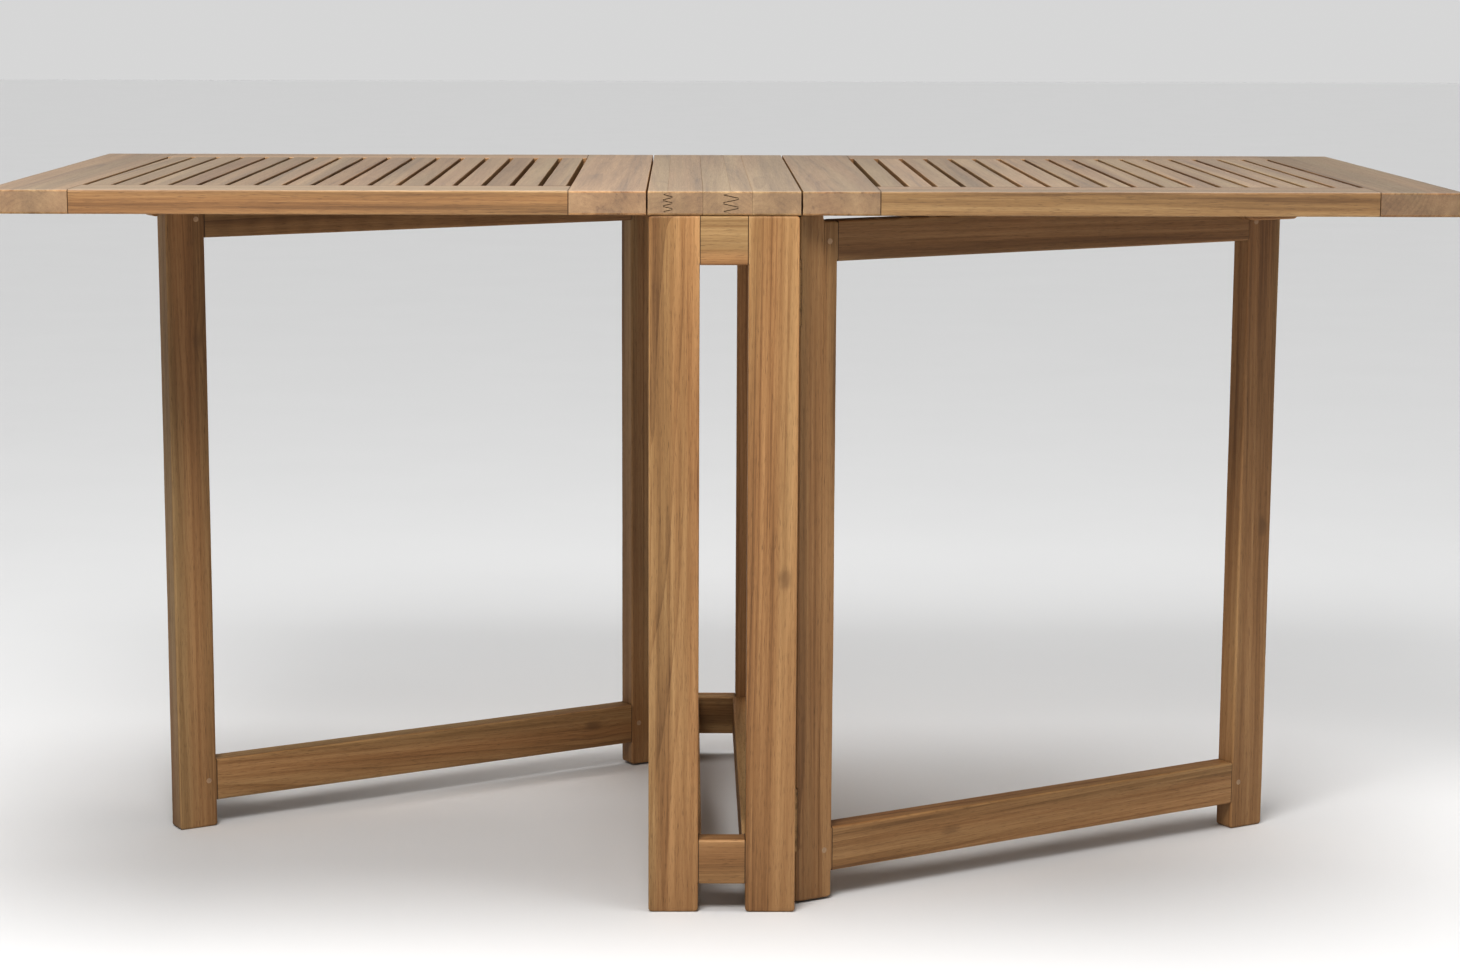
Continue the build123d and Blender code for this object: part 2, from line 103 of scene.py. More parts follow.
class Recipe:
    # a new material, or the world, and the one method that adds a node to it
    def __init__(self, name, owner=None):
        self.owner = owner or bpy.data.materials.new(name)
        self.owner.use_nodes = True
        self.tree = self.owner.node_tree
        self.tree.nodes.clear()

    def add(self, kind, settings=None, sockets=None, out=0):
        # a node of any kind: its settings come first, then the values or links of its sockets
        node = self.tree.nodes.new(kind)
        for key, value in (settings or {}).items():
            if key == "stops":
                while len(node.color_ramp.elements) < len(value):
                    node.color_ramp.elements.new(0.5)
                for element, (place, colour) in zip(node.color_ramp.elements, value):
                    element.position = place
                    element.color = (*colour, 1.0)
            else:
                setattr(node, key, value)
        for key, value in (sockets or {}).items():
            if isinstance(value, Wire):
                self.tree.links.new(value.socket, node.inputs[key])
            else:
                node.inputs[key].default_value = value
        return Wire(self, node.outputs[out])

    def maths(self, operation, *values):
        return self.add("ShaderNodeMath", {"operation": operation}, dict(enumerate(values)))

    def vectors(self, operation, *values, out=0):
        sockets = dict(enumerate(values))
        return self.add("ShaderNodeVectorMath", {"operation": operation}, sockets, out)

    def blendColours(self, factor, first, second, kind="MIX"):
        settings = {"data_type": "RGBA", "blend_type": kind, "clamp_factor": True}
        return self.add("ShaderNodeMix", settings, {0: factor, 6: first, 7: second}, 2)

    def step(self, value, low, high, first=0.0, last=1.0):
        # a smooth step from first to last while the value goes from low to high
        settings = {"interpolation_type": "SMOOTHSTEP"}
        sockets = {"Value": value, "From Min": low, "From Max": high, "To Min": first, "To Max": last}
        return self.add("ShaderNodeMapRange", settings, sockets)

    def noise(self, place, stretch, detail=2.0, roughness=0.5, out=0):
        # stretch is in cycles per metre along each axis
        spread = self.vectors("MULTIPLY", place, stretch)
        sockets = {"Vector": spread, "Scale": 1.0, "Detail": detail, "Roughness": roughness}
        return self.add("ShaderNodeTexNoise", {}, sockets, out)

    def parts(self, vector):
        # the three numbers of a vector, each as its own wire
        node = self.tree.nodes.new("ShaderNodeSeparateXYZ")
        self.tree.links.new(vector.socket, node.inputs[0])
        return [Wire(self, one) for one in node.outputs]

    def finish(self, shader, output="ShaderNodeOutputMaterial"):
        node = self.tree.nodes.new(output)
        self.tree.links.new(shader.socket, node.inputs["Surface"])
        return self.owner


teak = {
    "base": 0.27,  # depth of colour before any figure, 0 pale to 1 umber
    "ringWidth": 0.0047,  # metres from one growth ring to the next
    "ringShift": 2.4,  # how far rings shift against even spacing, in rings
    "ringSharpness": 3.2,
    "ringFade": 0.15,  # what is left of a ring where it is faintest
    "ringDepth": 0.22,
    "darkDepth": 0.34,
    "depths": {"streak": 0.85, "fibre": 0.42, "band": 1.0, "vein": 0.5, "blotch": 0.5},
    "wander": 0.012,  # how far the rings stray from round
    "knotBend": (0.016, 0.011),  # how far from a knot rings still bend, and by how much
    "knotStretch": 0.55,  # a knot is drawn out along the grain by one over this
    "knotRagged": 0.006,
    "redTurn": 0.28,  # how strongly a board's redness turns the hue
    "meanRed": 0.45,
    "poreDepth": 0.5,
    "endCalm": 0.38,  # how much fainter the figure is on end grain
    "endHue": 0.6,  # how much fainter the hue is there
    "endDepth": 0.12,
    "endGrey": 0.18,
    "wornEdge": 0.14,  # how much lighter a rounded arris is: painted highlight, partly paler wear
    "seamDepth": 0.72,
    "pale": (0.480, 0.320, 0.168),
    "honey": (0.330, 0.198, 0.092),
    "brown": (0.190, 0.103, 0.045),
    "umber": (0.075, 0.038, 0.017),
    "colourPlaces": (0.02, 0.40, 0.72, 1.0),  # depth at which each of those four stands
    "glue": (0.045, 0.024, 0.012),
    "ruddy": (1.06, 0.94, 0.83),
    "olive": (0.955, 0.96, 0.89),
    # grey of weathered teak; on faces that look up it is also a painted sheen
    "dryGrey": (0.36, 0.335, 0.305),
    "roughness": 0.52,
    "roughParts": {"fibre": 0.22, "pore": 0.12, "endCut": 0.12},
    "heights": {"fibre": 0.55, "streak": 0.3, "pore": -0.8, "ring": -0.35},
    "bumpDistance": 0.0006,
}

# Noises of the figure: cycles per metre along the grain and across it, detail, roughness.
figures = {
    "stray": (1.4, 11.0, 2.0, 0.5),
    "ringShift": (0.9, 25.0, 1.0, 0.5),
    "ringFade": (1.1, 31.0, 1.0, 0.5),
    "hue": (0.8, 24.0, 2.0, 0.5),
    "blotch": (2.2, 9.0, 2.0, 0.5),
    "band": (0.7, 34.0, 2.0, 0.5),
    "streak": (1.0, 78.0, 4.0, 0.6),
    "dark": (1.6, 130.0, 3.0, 0.6),
    "vein": (2.2, 230.0, 2.0, 0.5),
    "fibre": (16.0, 760.0, 3.0, 0.6),
    "pore": (75.0, 2600.0, 1.0, 0.5),
    "knot": (120.0, 160.0, 2.0, 0.5),
}

# Where a smooth step on each of these starts and stops.
steps = {
    "ringFade": (0.35, 0.65),
    "dark": (0.56, 0.74),
    "pore": (0.60, 0.72),
    "hue": (0.34, 0.66),
    "knot": (0.0045, 0.0125),  # metres from a knot's middle
    "upper": (0.55, 0.95),  # how squarely a face looks up
    "endCut": (0.7, 0.95),  # how squarely a face cuts the grain
}

finishes = {
    # lightness, greyness, more of it on faces that look up (weathered grey and painted sheen), and
    # strength of the bump
    "teakTop": {"light": 1.0, "grey": 0.05, "upperGrey": 0.45, "bump": 0.35},
    "teakFrame": {"light": 1.0, "grey": 0.0, "upperGrey": 0.0, "bump": 0.3},
    "teakPegs": {"light": 1.25, "grey": 0.1, "upperGrey": 0.0, "bump": 0.3},
}


def opaque(colour):
    # red, green and blue with a full alpha
    return (*colour, 1.0)


def boardSource(mat):
    # What the boards made below carry: the grain place, the board's tone, the place about its
    # knot, and where it has a rounded edge (painted highlight and paler wear), a cut end or a seam.
    names = ("grain", "tone", "knot", "wear")
    grain, tone, knot, wear = (
        mat.add("ShaderNodeAttribute", {"attribute_name": name}, out=1) for name in names
    )
    light, red, strong = mat.parts(tone)
    knotAlong, knotAcross, knotStrength = mat.parts(knot)
    edge, endCut, seam = mat.parts(wear)
    knotFar = ((knotAlong * teak["knotStretch"]) ** 2 + knotAcross ** 2) ** 0.5
    return grain, light, red, strong, knotFar, knotStrength, edge, endCut, seam


def cadSource(mat, turn, shift, tone):
    # What a CAD board gives: its own coordinates, turned so that the grain runs along X and
    # moved away from the pith, and how squarely each face cuts the grain.
    coords = mat.add("ShaderNodeTexCoord", out=3)
    place = {"Vector": coords, "Location": shift, "Rotation": (0.0, 0.0, -turn)}
    grain = mat.add("ShaderNodeMapping", {}, place)
    facing = mat.add("ShaderNodeTexCoord", out=1)
    axis = (math.cos(turn), math.sin(turn), 0.0)
    square = mat.maths("ABSOLUTE", mat.vectors("DOT_PRODUCT", facing, axis, out=1))
    light, red, strong = tone
    return grain, light, red, strong, None, 0.0, 0.0, mat.step(square, *steps["endCut"]), None


def teakFinish(name, look, source=boardSource, details=()):
    # Solid timber. The grain place runs (along, across, through) from the tree's pith. Rings
    # are rounds about the pith, strayed by a slow noise; bands, streaks, veins, fibres and
    # pores are noises drawn out along the grain, each finer than the last, and together they
    # give a depth of colour from pale to umber. A slow noise turns the hue, ruddy to olive.
    mat = Recipe(name)
    parts = source(mat, *details)
    grain, light, red, strong, knotFar, knotStrength, edge, endCut, seam = parts

    def figure(kind, out=0):
        along, across, detail, roughness = figures[kind]
        return mat.noise(grain, (along, across, across), detail, roughness, out)

    wander = teak["wander"] * 2
    stray = mat.vectors("SUBTRACT", figure("stray", out=1), (0.5, 0.5, 0.5))
    strayed = mat.vectors("ADD", grain, mat.vectors("MULTIPLY", stray, (0.0, wander, wander)))
    radius = mat.vectors("LENGTH", mat.vectors("MULTIPLY", strayed, (0.0, 1.0, 1.0)), out=1)
    if knotFar is not None:
        bendReach, bend = teak["knotBend"]
        swirl = mat.maths("EXPONENT", (knotFar / bendReach) ** 2 * -1.0)
        radius = radius + swirl * knotStrength * bend
    turns = radius / teak["ringWidth"] + figure("ringShift") * teak["ringShift"]
    ring = mat.maths("FRACT", turns) ** teak["ringSharpness"]
    ring = ring * mat.step(figure("ringFade"), *steps["ringFade"], teak["ringFade"], 1.0)

    dark = mat.step(figure("dark"), *steps["dark"])
    pore = mat.step(figure("pore"), *steps["pore"])
    shades = {kind: figure(kind) for kind in teak["depths"]}
    depth = sum((shade - 0.5) * teak["depths"][kind] for kind, shade in shades.items())
    depth = depth + ring * teak["ringDepth"] + dark * strong * teak["darkDepth"]
    depth = depth * (1 - endCut * teak["endCalm"]) + endCut * teak["endDepth"] + teak["base"]
    colours = [teak[shade] for shade in ("pale", "honey", "brown", "umber")]
    stops = tuple(zip(teak["colourPlaces"], colours))
    colour = mat.add("ShaderNodeValToRGB", {"stops": stops}, {"Fac": depth})
    turned = mat.step(figure("hue") + (red - teak["meanRed"]) * teak["redTurn"], *steps["hue"])
    hue = mat.blendColours(turned, opaque(teak["olive"]), opaque(teak["ruddy"]))
    colour = mat.blendColours(1 - endCut * teak["endHue"], colour, hue, "MULTIPLY")
    colour = mat.blendColours(pore * teak["poreDepth"], colour, opaque(teak["umber"]))
    if knotFar is not None:
        ragged = figure("knot") * teak["knotRagged"] + knotFar
        knotDark = (1 - mat.step(ragged, *steps["knot"])) * knotStrength
        colour = mat.blendColours(knotDark, colour, opaque(teak["brown"]))
    # faces that look up go greyer: weathered grey and a painted sheen; end grain and the finish's
    # greyness go to the same grey
    facing = mat.vectors("DOT_PRODUCT", mat.add("ShaderNodeTexCoord", out=1), alongZ, out=1)
    greyAndSheenMix = mat.step(facing, *steps["upper"]) * look["upperGrey"]
    greyAndSheenMix = greyAndSheenMix + look["grey"] + endCut * teak["endGrey"]
    colour = mat.blendColours(greyAndSheenMix, colour, opaque(teak["dryGrey"]))
    # painted highlight, partly paler wear: lighter where the edge mask is, along rounded arrises
    lit = (edge * teak["wornEdge"] + 1.0) * light * look["light"]
    tint = mat.add("ShaderNodeCombineXYZ", {}, {0: lit, 1: lit, 2: lit})
    colour = mat.blendColours(1.0, colour, tint, "MULTIPLY")
    if seam is not None:
        colour = mat.blendColours(seam * teak["seamDepth"], colour, opaque(teak["glue"]))

    surface = {"fibre": shades["fibre"], "streak": shades["streak"], "pore": pore, "ring": ring}
    height = sum(surface[kind] * share for kind, share in teak["heights"].items())
    bumpSockets = {"Strength": look["bump"], "Distance": teak["bumpDistance"], "Height": height}
    bump = mat.add("ShaderNodeBump", {}, bumpSockets)
    roughParts = teak["roughParts"]
    rough = (shades["fibre"] - 0.5) * roughParts["fibre"] + pore * roughParts["pore"]
    rough = rough + endCut * roughParts["endCut"] + teak["roughness"]
    sockets = {"Base Color": colour, "Roughness": rough, "Normal": bump, "IOR": 1.45}
    return mat.finish(mat.add("ShaderNodeBsdfPrincipled", {}, sockets))


teakTop = teakFinish("teakTop", finishes["teakTop"])
teakFrame = teakFinish("teakFrame", finishes["teakFrame"])
print("teak mixed")


tarnishing = {
    "patches": 70.0,  # cycles per metre
    "patchStep": (0.42, 0.68),
    "specks": 900.0,
    "speckStep": (0.62, 0.7),
    "speckDepth": 0.35,
    "tarnishRough": 0.18,
    "brushRough": 0.15,
    "bump": 0.25,
    "bumpDistance": 0.0002,
}


def metalFinish(name, look):
    # turned or pressed metal: fine brushed lines, a slow tarnish and small dark specks
    mat = Recipe(name)
    place = mat.add("ShaderNodeTexCoord", out=3)
    brushed = mat.noise(place, look["brush"], 3.0, 0.6)
    patches = mat.noise(place, (tarnishing["patches"],) * 3, 4.0, 0.6)
    tarnish = mat.step(patches, *tarnishing["patchStep"])
    specks = mat.step(mat.noise(place, (tarnishing["specks"],) * 3), *tarnishing["speckStep"])
    dull = opaque(look["dull"])
    colour = mat.blendColours(tarnish * look["tarnish"], opaque(look["bright"]), dull)
    colour = mat.blendColours(specks * tarnishing["speckDepth"], colour, dull)
    rough = look["roughness"] + tarnish * tarnishing["tarnishRough"]
    rough = rough + (brushed - 0.5) * tarnishing["brushRough"]
    bumpSockets = {
        "Strength": tarnishing["bump"],
        "Distance": tarnishing["bumpDistance"],
        "Height": brushed,
    }
    bump = mat.add("ShaderNodeBump", {}, bumpSockets)
    sockets = {"Base Color": colour, "Roughness": rough, "Metallic": 1.0, "Normal": bump}
    return mat.finish(mat.add("ShaderNodeBsdfPrincipled", {}, sockets))


metals = {
    "agedBrass": {
        "bright": (0.32, 0.20, 0.10),
        "dull": (0.09, 0.06, 0.035),
        "tarnish": 0.75,
        "roughness": 0.33,
        "brush": (1400.0, 1400.0, 90.0),
    },
    "stainless": {
        "bright": (0.56, 0.55, 0.53),
        "dull": (0.24, 0.22, 0.20),
        "tarnish": 0.45,
        "roughness": 0.28,
        "brush": (1500.0, 1500.0, 1500.0),
    },
}
agedBrass = metalFinish("agedBrass", metals["agedBrass"])
stainless = metalFinish("stainless", metals["stainless"])
print("metals mixed")


sawing = {
    "arris": 0.0025,  # rounding of the frame's edges
    "softArris": 0.001,  # rounding beside the slats and at the hinge lines
    "corner": 0.004,  # rounding of the outline at feet and leaf corners
    "flush": 0.0003,  # rounding left where two pieces meet flush
    "seam": 0.0007,  # width of the dark line at a joint
    "seamEnd": 1.2,  # where that line has faded out, in its own widths
    "tenonInset": 0.004,
    "tenonReach": 0.004,
    "fade": 0.003,  # length over which an arris dies into a joint
    "overlap": 0.001,  # how far a flush joint runs on past its neighbour's edge
    "spacing": 0.016,  # distance between rings along a board
    "endGap": 0.004,  # plain length left between the end's rings and the next
    "leastGap": 0.0003,
    "wear": 0.28,  # how uneven the arrises are
    "wearSpread": 0.7,  # under 1, an arris's painted highlight and paler wear reach further round it
    "skim": 0.00005,  # least and most that a sawn face lies under its true plane
    "hollow": 0.00022,
    "girth": 0.3,  # a ring's length as the sawn faces' unevenness sees it
    "acrossDrift": 3.0,  # that unevenness changes this much faster across than along
    "arcSteps": 4,
    "endSteps": 7,
    "fadeSteps": 5,
    "sideStops": (0.03, 0.16, 0.33, 0.5, 0.67, 0.84, 0.97),
    "slatStops": (0.06, 0.35, 0.65, 0.94),
}

# How each board is cut from its tree, and its tone: least and most of every random value.
boardChance = {
    "pithTurn": (0.0, 2.0 * np.pi),
    "pithFar": (0.028, 0.11),
    "slope": 0.018,
    "light": (0.9, 1.1),
    "red": (0.1, 0.8),
    "strong": (0.2, 1.0),
}
staveChance = {
    "pithTurn": (0.15 * np.pi, 0.85 * np.pi),  # the pith is above, so rings sag on the ends
    "pithFar": (0.03, 0.07),
    "slope": 0.02,
    "light": (0.92, 1.1),
    "red": (0.1, 0.7),
    "strong": (0.2, 0.8),
}
alongChance = 40.0  # metres of trunk from which a board's stretch is taken
noKnot = (10.0, 10.0, 0.0)  # a knot's place far away, with no strength

seeds = {
    "posts": 101,
    "endRails": 111,
    "sideRails": 121,
    "rightLeaf": 200,
    "leftLeaf": 300,
    "rightGate": 400,
    "leftGate": 500,
    "staves": 600,
    "rails": 10,  # added for a leaf's or a gate's rails
    "slats": 20,  # added for a leaf's slats
}


def drift(places, draws, waves=5, shortest=0.05, longest=0.7, fall=0.6):
    # A slow random line between 0 and 1: a sum of sines, the shorter ones lower.
    lengths = np.geomspace(longest, shortest, waves)
    heights = lengths ** fall
    turns = draws.random(waves)
    angles = 2 * np.pi * (places[..., None] / lengths + turns)
    return 0.5 + 0.5 * (np.sin(angles) * heights).sum(-1) / heights.sum()


def endRings(end):
    # Distances in from one end, with the insets there (across +, across -, through) and the
    # seam's strength. A rounded end is a quarter circle; a jointed end is a shoulder and a stub.
    if end is None:
        inset = sawing["tenonInset"]
        flush = sawing["flush"]
        seam = sawing["seam"]
        seamEnd = seam * sawing["seamEnd"]
        places = np.array((-sawing["tenonReach"], 0.0, 0.0, flush, seam, seamEnd))
        insets = np.array((inset, inset, flush, 0.0, 0.0, 0.0))[:, None] * np.ones(3)
        seams = np.array((1.0, 1.0, 1.0, 1.0, 1.0, 0.0))
        return places, insets, seams
    radii = np.array(end)
    reach = radii.max()
    places = reach * (1 - np.cos(np.linspace(0, np.pi / 2, sawing["endSteps"])))
    gone = np.clip(radii - places[:, None], 0, None)
    insets = radii - np.sqrt(np.clip(radii ** 2 - gone ** 2, 0, None))
    return places, insets, np.zeros(len(places))


def timber(places, chance, draws):
    # The grain place and the tone of points that are given about their board's middle. The pith
    # lies off to one side, and the grain slopes a little against the board.
    turn = draws.uniform(*chance["pithTurn"])
    far = draws.uniform(*chance["pithFar"])
    slope = draws.uniform(-chance["slope"], chance["slope"], 2)
    grain = np.array(places)
    grain[:, 1] += far * np.cos(turn) + slope[0] * grain[:, 0]
    grain[:, 2] += far * np.sin(turn) + slope[1] * grain[:, 0]
    grain[:, 0] += draws.uniform(0, alongChance)
    tone = np.ones_like(grain) * [draws.uniform(*chance[key]) for key in ("light", "red", "strong")]
    return grain, tone


def skin(ringCount, perRing, mirrored=False):
    # Quads between each ring of points and the next, and one face on each end. Mirrored, for a
    # ring that runs the other way round, keeps the faces outward.
    ring = np.arange(ringCount - 1)[:, None] * perRing
    around = np.arange(perRing)
    step = around[None, :]
    after = (step + 1) % perRing
    if mirrored:
        around = around[::-1]
        step, after = after, step
    above = ring + perRing
    quads = np.stack((ring + step, ring + after, above + after, above + step), axis=-1)
    caps = np.stack((around[::-1], (ringCount - 1) * perRing + around))
    return quads.reshape(-1, 4), caps


def plank(
    span,
    axes,
    base,
    radii,
    ends,
    joints=(),
    hinges=(),
    seed=0,
    stops=None,
    knotAt=None,
    look=None,
    heart=None,
):
    # A board as a grid: a rounded rectangle carried along its length. Four quarter circles with
    # straight stretches between make each ring, and the radius of each corner follows the
    # board's length: it wanders a little with wear, dies away where another piece meets it
    # flush, and grows beside a hinge. Faces sink by a slow random line, never outwards. Heart
    # is the middle that the grain is taken about, when that isn't the board's own.
    draws = np.random.default_rng(seed)
    stops = np.array(stops or sawing["sideStops"])
    (along0, along1), (across0, across1), (through0, through1) = span
    length = along1 - along0
    firstPlaces, firstInsets, firstSeams = endRings(ends[0])
    lastPlaces, lastInsets, lastSeams = endRings(ends[1])
    fade = sawing["fade"]
    first = firstPlaces[-1]
    last = length - lastPlaces[-1]
    gap = sawing["endGap"]
    middle = [np.arange(first + gap, last - gap, sawing["spacing"])]
    for _, low, high, _ in (*joints, *hinges):
        fades = np.linspace(0, fade, sawing["fadeSteps"])
        middle += [low - along0 + fades, high - along0 - fades]
    middle = np.unique(np.round(np.concatenate(middle), 5))
    gap = sawing["leastGap"]
    middle = middle[(middle > first + gap) & (middle < last - gap)]
    places = np.concatenate((firstPlaces, middle, length - lastPlaces[::-1]))
    insets = np.concatenate((firstInsets, np.zeros((len(middle), 3)), lastInsets[::-1]))
    seams = np.concatenate((firstSeams, np.zeros(len(middle)), lastSeams[::-1]))

    corner = np.array(radii)[None, :] * np.ones((len(places), 1))
    for index in range(4):
        corner[:, index] *= 1 + sawing["wear"] * (drift(places, draws) - 0.5) * 2
    for side, low, high, radius in (*joints, *hinges):
        start = np.clip((places + along0 - low) / fade, 0, 1)
        stop = np.clip((high - along0 - places) / fade, 0, 1)
        weight = start ** 2 * (3 - 2 * start) * stop ** 2 * (3 - 2 * stop)
        for index in side:
            corner[:, index] += (radius - corner[:, index]) * weight

    arcSteps = sawing["arcSteps"]
    ringCount = len(places)
    sign = np.array(((1, 1), (-1, 1), (-1, -1), (1, -1)))
    acrossEdge = np.where(sign[:, 0] > 0, across1 - insets[:, :1], across0 + insets[:, 1:2])
    throughEdge = np.where(sign[:, 1] > 0, through1 - insets[:, 2:], through0 + insets[:, 2:])
    turn = np.pi / 2 * (np.arange(4)[:, None] + np.linspace(0, 1, arcSteps + 1))
    centreAcross = acrossEdge - sign[:, 0] * corner
    centreThrough = throughEdge - sign[:, 1] * corner
    arcAcross = centreAcross[:, :, None] + corner[:, :, None] * np.cos(turn)
    arcThrough = centreThrough[:, :, None] + corner[:, :, None] * np.sin(turn)
    nextAcross = np.roll(arcAcross, -1, axis=1)[:, :, :1]
    nextThrough = np.roll(arcThrough, -1, axis=1)[:, :, :1]
    sideAcross = arcAcross[:, :, -1:] * (1 - stops) + nextAcross * stops
    sideThrough = arcThrough[:, :, -1:] * (1 - stops) + nextThrough * stops
    ringAcross = np.concatenate((arcAcross, sideAcross), axis=2).reshape(ringCount, -1)
    ringThrough = np.concatenate((arcThrough, sideThrough), axis=2).reshape(ringCount, -1)
    # the edge mask: painted highlight and paler wear along each rounded arris
    arcHighlightAndWear = np.sin(np.linspace(0, np.pi, arcSteps + 1)) ** sawing["wearSpread"]
    ringHighlightAndWear = np.tile(np.concatenate((arcHighlightAndWear, np.zeros(len(stops)))), 4)
    perRing = ringAcross.shape[1]
    cornerOf = np.repeat(np.arange(4), arcSteps + 1 + len(stops))
    rounding = np.clip(corner[:, cornerOf] / sawing["arris"], 0, 1)
    wear = ringHighlightAndWear[None, :] * rounding

    faceAngle = np.repeat(turn[:, -1:], len(stops), axis=1)
    facing = np.concatenate((turn, faceAngle), axis=1).reshape(-1)
    around = np.linspace(0, sawing["girth"], perRing) * sawing["acrossDrift"]
    sink = sawing["skim"] + sawing["hollow"] * drift(places[:, None] + around[None, :], draws)
    ringAcross = ringAcross - sink * np.cos(facing)
    ringThrough = ringThrough - sink * np.sin(facing)
    alongPlace = np.repeat(places[:, None], perRing, axis=1)

    local = np.stack((alongPlace + along0, ringAcross, ringThrough), axis=-1).reshape(-1, 3)
    points = np.array(base) + local @ np.array(axes)

    aboutHeart = local - np.array(heart or [(low + high) / 2 for low, high in span])
    grain, tone = timber(aboutHeart, boardChance, draws)
    if look:
        tone[:, :2] = look
    knot = np.zeros_like(local) + noKnot
    if knotAt:
        along, across, strength = knotAt
        knot = aboutHeart - (along, across, 0.0)
        knot[:, 2] = strength
    endCut = np.zeros(ringCount)
    endCut[0] = float(ends[0] is not None)
    endCut[-1] = float(ends[1] is not None)
    masks = (wear, np.repeat(endCut[:, None], perRing, 1), np.repeat(seams[:, None], perRing, 1))
    wearMasks = np.stack(masks, axis=-1).reshape(-1, 3)

    quads, caps = skin(ringCount, perRing)
    return {
        "points": points,
        "quads": quads,
        "caps": caps,
        "grain": grain,
        "tone": tone,
        "knot": knot,
        "wear": wearMasks,
    }


def makePiece(name, boards, body, replaced, finish):
    # one mesh from one or more boards, with its attributes; it rides on its body
    counts = np.cumsum([0] + [len(one["points"]) for one in boards])[:-1]
    points = np.concatenate([one["points"] for one in boards])
    quads = np.concatenate([one["quads"] + shift for one, shift in zip(boards, counts)])
    caps = [row + shift for one, shift in zip(boards, counts) for row in one["caps"]]
    corner = np.concatenate([quads.reshape(-1), *caps])
    sizes = np.array([4] * len(quads) + [len(row) for row in caps])
    mesh = bpy.data.meshes.new(name)
    mesh.vertices.add(len(points))
    mesh.vertices.foreach_set("co", points.astype(np.float32).reshape(-1))
    mesh.loops.add(len(corner))
    mesh.loops.foreach_set("vertex_index", corner.astype(np.int32))
    mesh.polygons.add(len(sizes))
    mesh.polygons.foreach_set("loop_start", (np.cumsum(sizes) - sizes).astype(np.int32))
    mesh.polygons.foreach_set("use_smooth", sizes == 4)
    mesh.update(calc_edges=True)
    for key in ("grain", "tone", "knot", "wear"):
        values = np.concatenate([one[key] for one in boards]).astype(np.float32)
        mesh.attributes.new(key, "FLOAT_VECTOR", "POINT").data.foreach_set("vector", values.reshape(-1))
    mesh.materials.append(finish)
    piece = bpy.data.objects.new(name, mesh)
    bpy.context.scene.collection.objects.link(piece)
    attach(piece, body)
    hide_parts(*replaced)


def spanOf(low, high, axes):
    # the ranges of a square box along a board's own axes
    first = np.array(axes) @ low
    second = np.array(axes) @ high
    return tuple(zip(np.minimum(first, second), np.maximum(first, second)))


# Axes of a board, as its own directions along, across and through.
upright = (alongZ, alongX, alongY)
lengthwise = (alongY, -alongX, alongZ)
crosswise = (alongX, alongY, alongZ)
onEdgeX = (alongX, alongZ, -alongY)
onEdgeY = (alongY, alongZ, alongX)
plusSide = (0, 3)  # the two corners of a board's outline on its plus side across
minusSide = (1, 2)
origin = (0.0, 0.0, 0.0)

roundEnd = (sawing["corner"], sawing["corner"], sawing["arris"])
allRound = (sawing["arris"],) * 4


postKnots = {"front_right_post": (-0.009, 0.013, 0.6)}  # along, across, strength
frameLook = {
    "front_left_post": (1.0, 0.50),  # lightness and redness of the pieces seen first
    "front_right_post": (0.97, 0.58),
    "front_top_rail": (0.92, 0.40),
    "front_bottom_rail": (0.82, 0.85),
}
# painted shade towards the floor: how much darker and redder the feet of posts and gates are
postFootShade = {"darker": 0.16, "redder": 0.6}
gateFootShade = {"darker": 0.04, "redder": 0.5}
gateHinges = {
    "heights": (0.092, 0.645),
    "half": 0.0345,  # half the length of the stretch that is rounded more
    "radius": 0.0058,
}


def shadeTowardsFloor(board, look):
    # painted shade: an upright is darker and redder towards the floor, by the square of how low a point
    # is
    low = 1 - board["points"][:, 2] / cadHigh[2]
    board["tone"][:, 0] *= 1 - look["darker"] * low ** 2
    board["tone"][:, 1] += look["redder"] * low ** 2


def hingeStretches(index):
    # the stretches of one long edge that are rounded more, beside a gate's hinges
    half = gateHinges["half"]
    radius = gateHinges["radius"]
    return [((index,), height - half, height + half, radius) for height in gateHinges["heights"]]


def framePosts():
    # the four posts; each meets two rails on its inner side and may carry a gate's hinges
    topLow, topHigh = corners("front_top_rail")
    lowLow, lowHigh = corners("front_bottom_rail")
    hingeCorners = {"front_right_post": 0, "back_left_post": 2}
    places = [(end, side) for end in ("front", "back") for side in ("left", "right")]
    for number, (end, side) in enumerate(places):
        node = f"{end}_{side}_post"
        low, high = corners(node)
        inner = plusSide if side == "left" else minusSide
        topEnd = list(roundEnd)
        topEnd[0 if side == "left" else 1] = sawing["flush"]
        joints = [
            (inner, topLow[2], high[2] + sawing["fade"], sawing["flush"]),
            (inner, lowLow[2], lowHigh[2], sawing["flush"]),
        ]
        board = plank(
            spanOf(low, high, upright),
            upright,
            origin,
            allRound,
            (roundEnd, topEnd),
            joints,
            hingeStretches(hingeCorners[node]) if node in hingeCorners else (),
            seed=seeds["posts"] + number,
            knotAt=postKnots.get(node),
            look=frameLook.get(node),
        )
        shadeTowardsFloor(board, postFootShade)
        name = f"{end}{side.capitalize()}Post"
        makePiece(name, [board], "centre_frame", [node], teakFrame)


